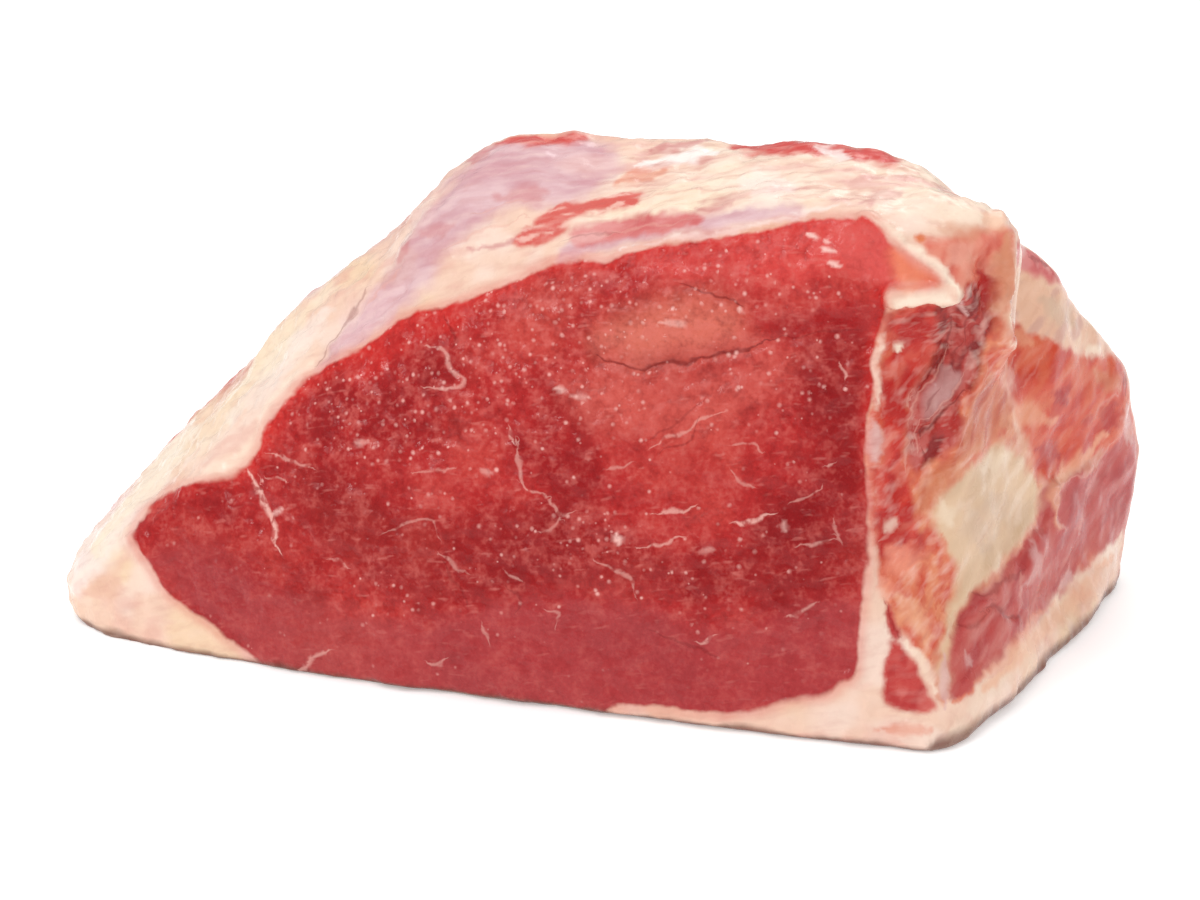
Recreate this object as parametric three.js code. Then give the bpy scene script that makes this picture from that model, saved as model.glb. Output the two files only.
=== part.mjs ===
// A boneless silverside of beef: one wedge-shaped joint with a flat cut face in front, a low fat tip on the
// left, a tall heel end on the right and a skinned, rounded top. Millimetres, +Z up, resting on its fat side.
import * as THREE from 'three';
import { mergeVertices } from 'three/addons/utils/BufferGeometryUtils.js';
import { ImprovedNoise } from 'three/addons/math/ImprovedNoise.js';

// Driving dimensions. The working frame starts at the foot of the cut face, under the fat tip:
// X runs along the cut face to the heel, Y goes back into the meat, Z is up.
const CUT_LENGTH = 230;
const CUT_HEIGHT = 121;
const CUT_LEAN = Math.tan(THREE.MathUtils.degToRad(10));
const CUT_BULGE = 4;
const FOOT_BOW = 9;
const TIP_HEIGHT = 14;
const TIP_DEPTH = 88;
const HEEL_DEPTH = 118;
const HEEL_FLARE = 26;
const HEEL_BELLY = 10;
const BACK_BELLY = 8;

// The heel flares towards the back, and tucks in again at its back edge.
const HEEL_TUCK = { depth: 3, power: 10 };

// The tip's end is a rounded nose, in plan and from the side. It fades out over this share of the length.
const NOSE = { reach: 6, plan: 9, side: 5, share: 0.16 };

// The top of the cut face rises along a quarter wave, from the tip to CUT_CREST of the length. Behind it the
// ridge rises in a straight slope and soon runs level, and comes forward and down a little at the heel.
// Past the ridge the meat rolls down to its back. A from is the share of the length where a change begins.
const CUT_CREST = 0.85;
const RIDGE = { height: 125, start: 22, slope: 255, softness: 6 };
const RIDGE_DROP = { height: 4, from: 0.8 };
const RIDGE_ACROSS = { body: 0.55, heel: 0.25, from: 0.6 };
const BACK_FALL = { share: 0.54, power: 1.35 };

// A skirt of fat spreads round the foot of the heel, wider by a share in the middle of it.
const SKIRT = { width: 5, belly: 0.6, height: 11, from: 0.55 };

// Edge rounding, and the number of cells along, across and up the joint.
const EDGE_ROUND = { end: 8, long: 12, foot: 4 };
const CELLS = { along: 42, across: 25, up: 27 };
const EDGE_CROWDING = 0.2;
const HEEL_CROWDING = 0.4;

// Folds of the surface: a path in the working frame, its half width, and how far it stands out or sinks in.
const FOLDS = [
  { name: 'fat lip', path: [[205, 26, 121], [228, 20, 108], [212, 17, 105]], width: 6, height: 3 },
  { name: 'hollow under the lip', path: [[213, 16, 94], [227, 18, 94]], width: 7, height: -4 },
  { name: 'waist of the heel', path: [[226, 16, 88], [227, 12, 60], [228, 8, 36]], width: 10, height: -6 },
  { name: 'fat seam', path: [[211, 16, 96], [211, 8, 58], [212, -1, 14]], width: 5, height: 1.5 },
  { name: 'hanging fold', path: [[220, 38, 122], [231, 37, 110], [233, 34, 92]], width: 8, height: 4 },
  { name: 'notch by the fold', path: [[232, 58, 120], [241, 60, 104], [241, 52, 86]], width: 9, height: -6 },
  { name: 'slack of the heel top', path: [[246, 84, 92], [236, 92, 96]], width: 16, height: -1.5 },
  { name: 'upper heel muscle', path: [[244, 66, 80], [254, 102, 58]], width: 14, height: 3 },
  { name: 'fat patch', path: [[237, 38, 66], [235, 22, 44]], width: 12, height: -2.5 },
  { name: 'lower heel muscle', path: [[240, 32, 18], [250, 68, 30]], width: 13, height: 4 },
  { name: 'groove over the lower muscle', path: [[233, 14, 28], [246, 52, 46]], width: 6, height: -3 },
  { name: 'fat rim', path: [[232, -2, 4], [246, 52, 4], [254, 86, 6]], width: 5, height: 2 },
  { name: 'crease in the cut', path: [[139, 12, 87], [156, 11, 84], [198, 15, 96]], width: 6, height: -1.5 },
  { name: 'raised grain', path: [[140, 14, 97], [172, 14, 98]], width: 9, height: 1.5 },
  { name: 'notch in the cut edge', path: [[52, 8, 52], [58, 4, 36]], width: 6, height: -2 },
  { name: 'skin edge', path: [[62, 30, 84], [104, 44, 116]], width: 8, height: 1.5 },
  { name: 'groove in the skin', path: [[90, 24, 96], [140, 26, 114]], width: 8, height: -2 },
  { name: 'top lump', path: [[182, 62, 125], [206, 58, 124]], width: 13, height: 5.5 },
  { name: 'crown', path: [[126, 68, 124], [152, 65, 124]], width: 12, height: 2 },
  { name: 'shoulder', path: [[44, 43, 75], [60, 46, 84]], width: 10, height: 4 },
  { name: 'tip swelling', path: [[13, 38, 42], [21, 42, 50]], width: 9, height: 2 },
  { name: 'back groove', path: [[70, 100, 20], [120, 108, 60], [200, 92, 96]], width: 10, height: -5 },
  { name: 'back muscle', path: [[110, 112, 30], [210, 120, 40]], width: 18, height: 4 },
  { name: 'back fold', path: [[60, 84, 50], [150, 84, 104]], width: 9, height: 3 },
];

// Uneven lumps all over: their spacing and how far they swell. The knife leaves the cut face flatter, which
// is where the surface faces forward. All relief fades out towards the foot, so the joint stands flat.
const LUMPS = [{ spacing: 48, height: 2.2 }, { spacing: 17, height: 0.8 }];
const CUT_SHARE = 0.5;
const CUT_FACING = { some: 0.6, full: 0.9 };
const FOOT_FADE = 8;

const { lerp, clamp, smoothstep } = THREE.MathUtils;
const noise = new ImprovedNoise();

// The smaller of two numbers, with the corner between them rounded off.
function softMin(a, b, softness) {
  return (a + b - Math.hypot(a - b, softness)) / 2;
}

// Height of the top over the plan, for p and q from 0 to 1 along and across the joint.
function topHeight(p, q) {
  const cut = lerp(TIP_HEIGHT, CUT_HEIGHT, Math.sin((Math.PI / 2) * (p / CUT_CREST)));
  const level = RIDGE.height - RIDGE_DROP.height * smoothstep(p, RIDGE_DROP.from, 1);
  const ridge = softMin(RIDGE.start + RIDGE.slope * p, level, RIDGE.softness);
  const across = lerp(RIDGE_ACROSS.body, RIDGE_ACROSS.heel, smoothstep(p, RIDGE_ACROSS.from, 1));
  if (q < across) return lerp(cut, ridge, Math.sin((Math.PI / 2) * (q / across)));
  return ridge * (1 - BACK_FALL.share * ((q - across) / (1 - across)) ** BACK_FALL.power);
}

// A point of the joint: p, q and r run from 0 to 1 along, across and up.
function place(p, q, r) {
  const z = r * topHeight(p, q);
  const along = Math.sin(Math.PI * p);
  const up = Math.sin(Math.PI * r);
  const width = SKIRT.width * (1 + SKIRT.belly * Math.sin(Math.PI * q));
  const skirt = width * smoothstep(p, SKIRT.from, 1) * Math.exp(-((z / SKIRT.height) ** 2));
  const front = CUT_LEAN * z - FOOT_BOW * along * (1 - r) - CUT_BULGE * along * up - skirt;
  const back = lerp(TIP_DEPTH, HEEL_DEPTH, p) + BACK_BELLY * up;
  const flare = HEEL_FLARE * q + HEEL_BELLY * up * q * q - HEEL_TUCK.depth * q ** HEEL_TUCK.power;
  const length = CUT_LENGTH + flare + skirt;
  const nose = NOSE.plan * (2 * q - 1) ** 4 + NOSE.side * (2 * r - 1) ** 2 - NOSE.reach;
  const x = length * p + nose * (1 - smoothstep(p, 0, NOSE.share));
  return new THREE.Vector3(x, lerp(front, back, q), z);
}

// Rounds the corners of a cube from -1 to 1. The radius on each axis is a share of the half side.
function rounded(point, radius) {
  const inner = point.clone();
  inner.x = clamp(point.x, radius.x - 1, 1 - radius.x);
  inner.y = clamp(point.y, radius.y - 1, 1 - radius.y);
  inner.z = clamp(point.z, radius.z - 1, 1 - radius.z);
  const out = point.clone().sub(inner).divide(radius);
  if (out.lengthSq() === 0) return point;
  return inner.add(out.normalize().multiply(radius));
}

// How far the surface stands out at a point with that normal.
function relief(point, normal) {
  const nearest = new THREE.Vector3();
  let out = 0;
  for (const { path, width, height } of FOLDS) {
    let distance = Infinity;
    for (let i = 1; i < path.length; i++) {
      const line = new THREE.Line3(new THREE.Vector3(...path[i - 1]), new THREE.Vector3(...path[i]));
      distance = Math.min(distance, line.closestPointToPoint(point, true, nearest).distanceTo(point));
    }
    out += height * Math.exp(-((distance / width) ** 2));
  }
  const share = lerp(1, CUT_SHARE, smoothstep(-normal.y, CUT_FACING.some, CUT_FACING.full));
  for (const { spacing, height } of LUMPS) {
    out += share * height * noise.noise(point.x / spacing, point.y / spacing, point.z / spacing);
  }
  return out * smoothstep(point.z, 0, FOOT_FADE);
}

// Draws the cells of a cube side from -1 to 1 closer together at its edges.
function crowd(c) {
  return c * (1 + EDGE_CROWDING) - EDGE_CROWDING * c ** 3;
}

// Draws the cells along the joint closer together towards the heel, where the folds are.
function crowdHeel(c) {
  return c + (HEEL_CROWDING * (1 - c * c)) / 2;
}

// The cells of a cube's surface, mapped to the joint, then moved along their normals by the relief.
function jointGeometry() {
  const box = new THREE.BoxGeometry(2, 2, 2, CELLS.along, CELLS.across, CELLS.up);
  box.deleteAttribute('normal');
  box.deleteAttribute('uv');
  const geometry = mergeVertices(box);
  const at = geometry.getAttribute('position');
  const side = new THREE.Vector3(CUT_LENGTH, HEEL_DEPTH, CUT_HEIGHT).multiplyScalar(0.5);
  const top = new THREE.Vector3(EDGE_ROUND.end, EDGE_ROUND.long, EDGE_ROUND.long).divide(side);
  const foot = new THREE.Vector3(EDGE_ROUND.end, EDGE_ROUND.long, EDGE_ROUND.foot).divide(side);
  for (let i = 0; i < at.count; i++) {
    const cube = new THREE.Vector3(crowdHeel(at.getX(i)), crowd(at.getY(i)), crowd(at.getZ(i)));
    const c = rounded(cube, cube.z < 0 ? foot : top);
    const v = place((c.x + 1) / 2, (c.y + 1) / 2, (c.z + 1) / 2);
    at.setXYZ(i, v.x, v.y, v.z);
  }
  geometry.computeVertexNormals();
  const normals = geometry.getAttribute('normal');
  for (let i = 0; i < at.count; i++) {
    const point = new THREE.Vector3().fromBufferAttribute(at, i);
    const normal = new THREE.Vector3().fromBufferAttribute(normals, i);
    point.addScaledVector(normal, relief(point, normal));
    at.setXYZ(i, point.x, point.y, Math.max(point.z, 0));
  }
  return geometry;
}

const meat = new THREE.MeshStandardMaterial({ color: 0xa83238, roughness: 0.4, metalness: 0 });
const joint = new THREE.Mesh(jointGeometry(), meat);
joint.name = 'beef_joint';

// The joint stands on the origin, centred over it.
joint.geometry.computeBoundingBox();
const { min, max } = joint.geometry.boundingBox;
joint.position.set(-(min.x + max.x) / 2, -(min.y + max.y) / 2, -min.z);

const group = new THREE.Group();
group.add(joint);
export default group;
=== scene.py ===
import math

import bpy
import numpy as np
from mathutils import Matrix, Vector, noise


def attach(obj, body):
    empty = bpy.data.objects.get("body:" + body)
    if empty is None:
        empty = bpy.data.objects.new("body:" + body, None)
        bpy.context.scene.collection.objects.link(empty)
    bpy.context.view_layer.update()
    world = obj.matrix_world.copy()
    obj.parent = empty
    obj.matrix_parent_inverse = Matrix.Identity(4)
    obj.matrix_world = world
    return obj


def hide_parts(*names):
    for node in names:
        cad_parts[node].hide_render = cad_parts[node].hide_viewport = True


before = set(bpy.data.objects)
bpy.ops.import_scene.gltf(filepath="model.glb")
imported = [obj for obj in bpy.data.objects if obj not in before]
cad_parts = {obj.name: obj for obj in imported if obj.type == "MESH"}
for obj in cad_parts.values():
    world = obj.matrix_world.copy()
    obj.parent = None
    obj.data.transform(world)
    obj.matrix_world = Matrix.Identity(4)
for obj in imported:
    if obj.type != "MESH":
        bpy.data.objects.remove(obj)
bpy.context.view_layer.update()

# A raw silverside of beef: one fine mesh over the joint's solid. Its tissues are painted on by outlines.
SCENE = bpy.context.scene
MM = 0.001

# The camera stands where the photo's camera stood.
IMAGE = (1200, 900)
LENS_MM = 85
SENSOR_MM = 36
AZIMUTH = math.radians(17.25)
ELEVATION = math.radians(21)
DISTANCE = 0.7
TARGET = Vector((0.01212, -0.03287, 0.056))
FOCAL_PIXELS = IMAGE[0] * LENS_MM / SENSOR_MM
PIXELS_PER_MM = FOCAL_PIXELS * MM / DISTANCE
BACK = Vector((
    math.sin(AZIMUTH) * math.cos(ELEVATION),
    -math.cos(AZIMUTH) * math.cos(ELEVATION),
    math.sin(ELEVATION),
))
RIGHT = Vector((0, 0, 1)).cross(BACK).normalized()
UP = BACK.cross(RIGHT)
EYE = TARGET + BACK * DISTANCE

# Mesh: how near corners are joined, levels of rounding, the size of a cell where the joint shows, rounds of
# smoothing, and the most triangles that the piece may have.
WELD = 0.01 * MM
ROUNDING = 2
CELL = 0.85 * MM
SMOOTHING = 6
TRIANGLES = 190_000

# The sky's strength at the horizon and overhead. Each lamp's place and size in metres, and its watts.
HORIZON = 0.3
ZENITH = 0.95
LAMPS = {
    "key": ((-0.4, -0.6, 1.4), 0.9, 6),
    "front": ((-0.6, -0.95, 0.85), 0.12, 2),
    "back": ((0.1, 0.9, 1.0), 0.5, 2.5),
    "side": ((1.0, 0.1, 0.7), 0.6, 1.2),
}
LAMP_AIM = Vector((0, 0, 0.05))

# The floor: half its side in metres, its grey, its roughness and the strength of its own light.
FLOOR_HALF = 4.0
FLOOR_GREY = 0.93
FLOOR_ROUGHNESS = 0.9
FLOOR_LIGHT = 0.3

# Gloss of the meat. Its roughness goes from dry to wet in patches.
IOR = 1.37
SPECULAR = 0.36
DRY = 0.36
WET = 0.2

# How squarely sides face the camera: hidden ones, and where a side begins to show and shows in full.
HIDDEN = -0.05
SEEN = (0.0, 0.25)

# How squarely a side faces +X where the heel begins, and where it is all heel.
HEEL = (0.3, 0.6)

# Painted edges wander by about this many pixels, in waves of this many millimetres.
WANDER = 5
WAVES = 5

# Noise: how fast its octaves lose height, and how much closer each one's bumps are.
FINER = 0.8
CLOSER = 2.1

# Distances to an outline are told apart up to this many millimetres.
FAR = 8.0

# Directions along the fibres: the top's skin, the heel's folds, its muscles and the dashes in the cut.
ALONG_TOP = (1, 0.1, 0.25)
ALONG_FOLDS = (0.1, 0.45, 0.9)
ALONG_HEEL = (0.25, 0.85, 0.45)
ALONG_DASHES = (1, 0, 0.2)

# The cut face's outline, in pixels of the photo.
LEAN = [
    (134, 538), (150, 509), (174, 489), (203, 482), (226, 479), (244, 468), (257, 452), (266, 430),
    (285, 403), (316, 373), (365, 348), (407, 318), (446, 307), (507, 285), (545, 268), (583, 260),
    (610, 262), (640, 250), (700, 241), (759, 231), (805, 221), (851, 219), (873, 223), (895, 246),
    (938, 281), (905, 286), (888, 291), (885, 312), (872, 352), (870, 364), (873, 378), (872, 400),
    (866, 425), (865, 455), (868, 530), (866, 570), (860, 620), (856, 672), (842, 681), (828, 694),
    (790, 700), (740, 712), (680, 708), (612, 703), (594, 722), (440, 720), (320, 700), (262, 662),
    (219, 629), (172, 596), (150, 565),
]

# Zones outside the cut, one over the other on fat: paint, soft edge in millimetres and outline in pixels.
ZONES = [
    ("marbled", 3.0, [
        (560, 252), (590, 205), (620, 150), (700, 136), (900, 156), (985, 193), (1000, 214), (930, 210),
        (880, 210), (800, 213), (700, 228), (620, 246),
    ]),
    ("skin", 2.5, [
        (318, 364), (375, 290), (400, 255), (420, 215), (450, 180), (490, 140), (545, 130), (600, 140),
        (620, 158), (605, 182), (560, 202), (515, 208), (470, 232), (440, 262), (425, 290), (350, 347),
    ]),
    ("skin", 1.5, [
        (560, 264), (600, 250), (680, 235), (760, 223), (800, 214), (790, 206), (720, 212), (650, 222),
        (580, 238),
    ]),
    ("salmon", 1.5, [
        (922, 246), (932, 238), (1002, 230), (1010, 262), (1006, 302), (992, 314), (975, 292), (962, 290),
        (928, 254),
    ]),
    ("film", 1.5, [
        (888, 314), (943, 310), (960, 298), (978, 280), (996, 300), (1004, 345), (1008, 400), (1020, 450),
        (1040, 470), (1045, 500), (1040, 530), (980, 600), (955, 640), (946, 700), (935, 690), (915, 650),
        (905, 640), (886, 600), (868, 510), (864, 460), (866, 425), (872, 396), (872, 360),
    ]),
    ("strip", 1.2, [
        (893, 316), (940, 314), (930, 357), (912, 395), (907, 420), (906, 465), (920, 530), (918, 555),
        (900, 562), (882, 556), (874, 540), (874, 480), (882, 445), (880, 408), (879, 375), (892, 340),
    ]),
    ("folds", 1.2, [
        (941, 310), (985, 282), (994, 319), (982, 345), (975, 375), (960, 405), (962, 440), (935, 456),
        (914, 474), (907, 440), (912, 396), (930, 358),
    ]),
    ("mauve", 1.0, [(946, 366), (962, 378), (955, 392), (936, 410), (920, 418), (922, 400)]),
    ("tan", 1.5, [
        (985, 372), (1004, 388), (1010, 408), (1000, 432), (955, 470), (922, 512), (918, 496), (935, 468),
        (954, 448), (974, 396),
    ]),
    ("orange", 1.5, [
        (1006, 326), (1018, 324), (1065, 345), (1090, 354), (1105, 352), (1140, 375), (1140, 445),
        (1108, 452), (1066, 472), (1050, 486), (1030, 455), (1012, 395), (1002, 345),
    ]),
    ("purple", 1.0, [
        (1104, 452), (1145, 435), (1145, 500), (1108, 549), (1085, 566), (1054, 605), (1010, 654),
        (966, 696), (950, 699), (945, 681), (946, 657), (952, 634), (963, 612), (976, 596), (999, 578),
        (1034, 532), (1043, 522), (1041, 494), (1052, 482), (1072, 474),
    ]),
    ("dull fat", 1.6, [
        (1005, 440), (1030, 468), (1041, 494), (1040, 515), (1010, 558), (970, 600), (956, 622), (948, 650),
        (947, 690), (940, 690), (938, 655), (955, 585), (953, 560), (931, 520), (936, 500), (978, 462),
        (992, 446),
    ]),
    ("grey fat", 1.2, [
        (1013, 266), (1050, 284), (1085, 312), (1108, 345), (1098, 356), (1065, 345), (1012, 320),
    ]),
    ("red", 1.0, [(895, 640), (929, 690), (934, 710), (920, 714), (900, 711), (889, 704), (883, 684)]),
    ("red", 0.7, [(885, 601), (891, 608), (900, 634), (895, 639), (888, 622)]),
    ("blush", 0.8, [
        (534, 218), (558, 204), (595, 197), (641, 192), (632, 207), (598, 213), (562, 225), (546, 227),
    ]),
    ("blush", 0.8, [(513, 243), (526, 226), (556, 220), (567, 228), (547, 239), (525, 246)]),
    ("rose", 1.0, [(572, 234), (606, 220), (650, 214), (698, 214), (688, 230), (632, 237), (578, 247)]),
    ("top red", 1.2, [(497, 144), (505, 130), (580, 130), (575, 143)]),
    ("top red", 1.2, [
        (733, 150), (745, 130), (860, 135), (902, 158), (885, 166), (840, 156), (810, 154), (760, 155),
    ]),
    ("rose", 1.0, [(1010, 250), (1020, 246), (1056, 268), (1060, 284), (1040, 277), (1015, 264)]),
]

# Strokes and spots over the zones: points in pixels, half width in millimetres and strength.
STROKES = {
    "tan": [
        ([(1003, 238), (1000, 285), (998, 310)], 1.8, 0.8), ([(940, 228), (985, 232)], 2.5, 0.5),
        ([(955, 470), (985, 440)], 1.2, 0.5), ([(932, 500), (946, 480), (968, 464)], 1.8, 0.6),
        ([(1085, 470), (1100, 455)], 2.0, 0.5), ([(1005, 425), (1025, 450)], 2.5, 0.6),
        ([(1098, 372), (1118, 388)], 2.5, 0.5),
    ],
    "orange": [
        ([(1056, 606), (1034, 618), (1005, 661), (955, 703)], 1.0, 0.7),
        ([(943, 536), (947, 563)], 1.0, 0.7), ([(616, 181), (640, 174), (664, 172)], 1.6, 0.6),
        ([(921, 239)], 1.3, 0.9), ([(925, 280)], 2.5, 0.5), ([(890, 560), (915, 590)], 4, 0.5),
        ([(1090, 562)], 2.5, 0.6), ([(1035, 625), (1010, 650)], 1.5, 0.6),
        ([(880, 728), (930, 730)], 1.5, 0.5), ([(1075, 592)], 2.5, 0.5),
    ],
    "red": [
        # The first red stroke is painted shade in the hollow beside the hanging fold.
        ([(987, 270), (991, 290), (990, 310)], 1.9, 1.0), ([(868, 398), (880, 402)], 0.8, 0.6),
        ([(866, 468), (876, 470)], 0.8, 0.6), ([(884, 318), (891, 325)], 1.0, 0.7),
        ([(1046, 464)], 1.8, 0.6), ([(1057, 394), (1062, 400)], 3.0, 1.0), ([(1086, 420)], 1.4, 0.7),
        ([(1036, 448), (1062, 454)], 2.6, 0.8), ([(890, 400), (900, 415)], 2.5, 0.6),
        ([(890, 480), (897, 510)], 2.5, 0.7), ([(900, 540)], 2.5, 0.6),
        ([(1106, 428), (1115, 405)], 2.6, 0.8), ([(1081, 556)], 2.2, 0.5),
        ([(940, 432), (955, 420)], 2.0, 0.6),
    ],
    "rose": [
        ([(496, 197), (549, 192)], 2.4, 0.6), ([(420, 236), (455, 224)], 2.0, 0.5),
        ([(861, 203), (900, 197)], 1.5, 0.5), ([(467, 249), (504, 244), (516, 238)], 0.7, 0.6),
        ([(696, 207), (733, 205)], 1.0, 0.5), ([(469, 159), (494, 144)], 1.0, 0.7),
        ([(650, 146), (716, 141)], 1.2, 0.7), ([(396, 263), (414, 242)], 0.8, 0.6),
        ([(870, 470), (870, 510)], 0.8, 0.6),
    ],
    "lavender": [
        ([(874, 421), (872, 458)], 2.1, 0.95), ([(943, 655), (945, 706)], 1.0, 0.8),
        ([(957, 299), (969, 316)], 0.9, 0.8), ([(1032, 541), (1034, 570), (1023, 589)], 1.2, 0.5),
        ([(1071, 570), (1062, 587)], 1.2, 0.6), ([(395, 280), (412, 255)], 4, 0.5),
        ([(677, 234), (725, 230)], 1.2, 0.5), ([(964, 654), (971, 667)], 1.0, 0.5),
        ([(1127, 408), (1129, 445)], 1.2, 0.7),
    ],
    "cream": [
        ([(873, 221), (925, 258), (945, 275), (958, 292)], 1.3, 0.95),
        ([(955, 297), (895, 300)], 2.2, 0.95), ([(884, 331), (874, 364), (877, 380), (876, 408)], 1.2, 0.9),
        # The lines at x about 1010 are the hanging fold's cream edge, partly painted highlight.
        ([(894, 343), (896, 351)], 1.2, 0.9), ([(1009, 232), (1010, 293)], 0.8, 0.5),
        ([(885, 527), (895, 520)], 1.5, 0.5), ([(1001, 336), (1011, 346)], 0.9, 0.6),
        ([(1115, 545), (1080, 588), (1030, 640), (985, 695), (955, 733)], 3.0, 0.4),
        ([(906, 645), (925, 662), (936, 690)], 1.6, 0.7),
        ([(880, 205), (930, 208), (975, 208), (995, 225)], 4, 0.6), ([(700, 185), (790, 175)], 6, 0.4),
        ([(160, 500), (205, 475), (245, 455), (275, 405), (310, 365)], 2.2, 0.6), ([(282, 350)], 8, 0.4),
        ([(1096, 352)], 1.5, 0.7),
    ],
    # White: painted highlights on the top ridge and the left fat painted whiter where it is most brightly
    # lit; the stroke along the cut's upper edge is a pale band of fat.
    "white": [
        ([(650, 160), (716, 153)], 1.9, 0.9), ([(636, 165), (660, 161)], 1.2, 0.8),
        ([(793, 213), (837, 208)], 0.8, 0.5), ([(618, 250), (700, 236), (760, 226), (805, 214)], 0.7, 0.6),
        ([(818, 147), (850, 157)], 1.6, 0.7), ([(190, 430), (140, 490), (95, 550), (75, 590)], 5, 0.6),
        ([(230, 420), (330, 310)], 3, 0.4), ([(745, 185), (790, 190)], 4, 0.4),
    ],
    "peach": [
        ([(1104, 434), (1088, 452), (1070, 466), (1056, 484), (1053, 502), (1060, 526)], 1.5, 0.6),
        ([(1008, 418), (1030, 414), (1050, 422)], 3.0, 0.55), ([(1014, 334), (1030, 344)], 2.2, 0.5),
        ([(897, 289), (938, 284)], 1.0, 0.7),
        ([(1112, 556), (1082, 592), (1032, 642), (985, 692)], 2.2, 0.6),
        ([(900, 595), (928, 640)], 3.0, 0.6), ([(985, 215), (1000, 232)], 2.0, 0.5),
    ],
    "pale": [([(940, 505), (950, 525)], 3.0, 0.6), ([(985, 470), (1005, 455)], 2.0, 0.5)],
    "grey": [
        ([(975, 515), (985, 545)], 4.0, 0.6), ([(990, 495), (1000, 515)], 4.0, 0.5),
        ([(1045, 300), (1075, 325)], 3.0, 0.5),
    ],
    "butter": [([(330, 285), (270, 350), (215, 415), (150, 480), (95, 550)], 4.0, 0.5)],
    "haze": [([(340, 345), (370, 312), (400, 290)], 5.0, 0.5)],
    "salmon": [([(893, 548), (914, 574)], 4.5, 0.8), ([(884, 580), (890, 600)], 2.0, 0.6)],
    "amber": [([(918, 237), (925, 241)], 1.0, 0.9)],
}
STROKE_COLOURS = {
    "tan": (214, 146, 112), "orange": (224, 122, 90), "red": (178, 40, 36), "rose": (206, 126, 128),
    "lavender": (222, 176, 170), "cream": (254, 234, 212), "white": (255, 246, 240), "peach": (240, 178, 142),
    "salmon": (240, 150, 124), "pale": (244, 222, 196), "grey": (206, 176, 152), "haze": (238, 200, 202),
    "amber": (220, 122, 76), "butter": (250, 232, 200),
}

# Zones of the cut face: colour, how rough it is, soft edge in millimetres, strength and outline in pixels.
LEAN_ZONES = [
    ((172, 61, 64), 0.6, 4.0, 0.75, [
        (150, 560), (210, 545), (300, 600), (420, 622), (520, 600), (640, 604), (700, 630), (780, 612),
        (870, 600), (860, 690), (740, 725), (590, 740), (320, 705), (215, 635),
    ]),
    ((130, 14, 19), 1.0, 5.0, 0.5, [
        (300, 465), (420, 515), (560, 505), (700, 560), (790, 500), (865, 470), (870, 570), (800, 600),
        (700, 596), (560, 590), (430, 606), (330, 550),
    ]),
    ((138, 18, 22), 0.9, 4.0, 0.65, [
        (800, 345), (866, 335), (868, 400), (862, 480), (835, 480), (805, 420),
    ]),
    # Painted light: brighter red along the cut's upper left edge, where the face turns up to the light.
    ((208, 44, 40), 0.6, 2.0, 0.6, [
        (350, 372), (400, 340), (446, 314), (470, 318), (400, 358), (360, 382),
    ]),
    ((210, 92, 82), 0.9, 5.0, 0.6, [
        (560, 380), (620, 372), (720, 366), (790, 350), (780, 390), (700, 430), (600, 430),
    ]),
    # Painted light: brighter red along the cut's upper edge, where the face turns up to the light.
    ((225, 77, 72), 0.8, 4.0, 0.75, [
        (640, 262), (700, 250), (760, 236), (805, 226), (855, 224), (860, 262), (810, 280), (740, 284),
        (660, 280),
    ]),
    # Painted sheen: the raised patch made paler pink where it tilts up towards the light.
    ((228, 122, 102), 1.0, 6.0, 0.75, [
        (590, 338), (640, 306), (690, 292), (725, 299), (742, 312), (745, 330), (735, 344), (655, 361),
        (625, 361),
    ]),
    ((156, 22, 26), 0.7, 3.0, 0.7, [
        (770, 322), (800, 314), (860, 308), (880, 318), (850, 332), (790, 338),
    ]),
    # Painted light: the flap made brighter red where it curves towards the light.
    ((221, 88, 83), 0.5, 3.0, 0.85, [(830, 224), (874, 224), (930, 280), (895, 286), (850, 272)]),
    ((238, 140, 104), 0.3, 2.5, 0.8, [(892, 250), (915, 260), (938, 281), (910, 286), (895, 278)]),
]

# Half the width of the cut's soft edge in millimetres, and spots where it is wider: x, y and radius in
# pixels, and how much wider.
CUT_BLUR = 0.5
SOFT_EDGES = [
    (915, 284, 30, 1.8), (905, 256, 18, 0.6), (225, 478, 25, 0.6), (800, 700, 50, 0.7), (862, 560, 40, 0.4),
]

# Short bright dashes on the cut face: points in pixels, half width in millimetres and strength.
DASHES = [
    # The first four, by the flap, are painted glints.
    ([(806, 233), (819, 238)], 0.6, 1.0), ([(820, 248), (836, 252)], 0.6, 1.0),
    ([(828, 262), (840, 266)], 0.7, 1.0), ([(823, 240), (829, 242)], 0.6, 0.7),
    ([(270, 515), (283, 509)], 0.7, 0.7), ([(617, 534), (618, 544)], 1.3, 0.9),
    ([(738, 308), (742, 311)], 0.8, 0.9), ([(556, 388), (566, 391)], 0.9, 0.7),
    ([(572, 396), (590, 398)], 0.8, 0.4), ([(660, 322), (690, 325)], 0.7, 0.5),
    ([(354, 444), (366, 442)], 0.9, 0.5), ([(782, 520), (786, 532)], 0.8, 0.5),
    ([(480, 470), (492, 474)], 0.8, 0.4), ([(700, 552), (716, 548)], 0.7, 0.4),
]

# Soft spots on the cut face, in pixels: x, y, radius and amount.
PALE_LEAN = [
    (540, 318, 40, 0.3), (330, 640, 60, 0.2), (690, 440, 50, 0.25), (470, 430, 30, 0.2),
    (615, 390, 32, 0.35),
]
DARK_LEAN = [
    (185, 530, 45, 0.4), (340, 500, 60, 0.5), (440, 368, 28, 0.7), (250, 560, 45, 0.3), (720, 282, 25, 0.3),
    (560, 290, 40, 0.3),
]
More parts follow.
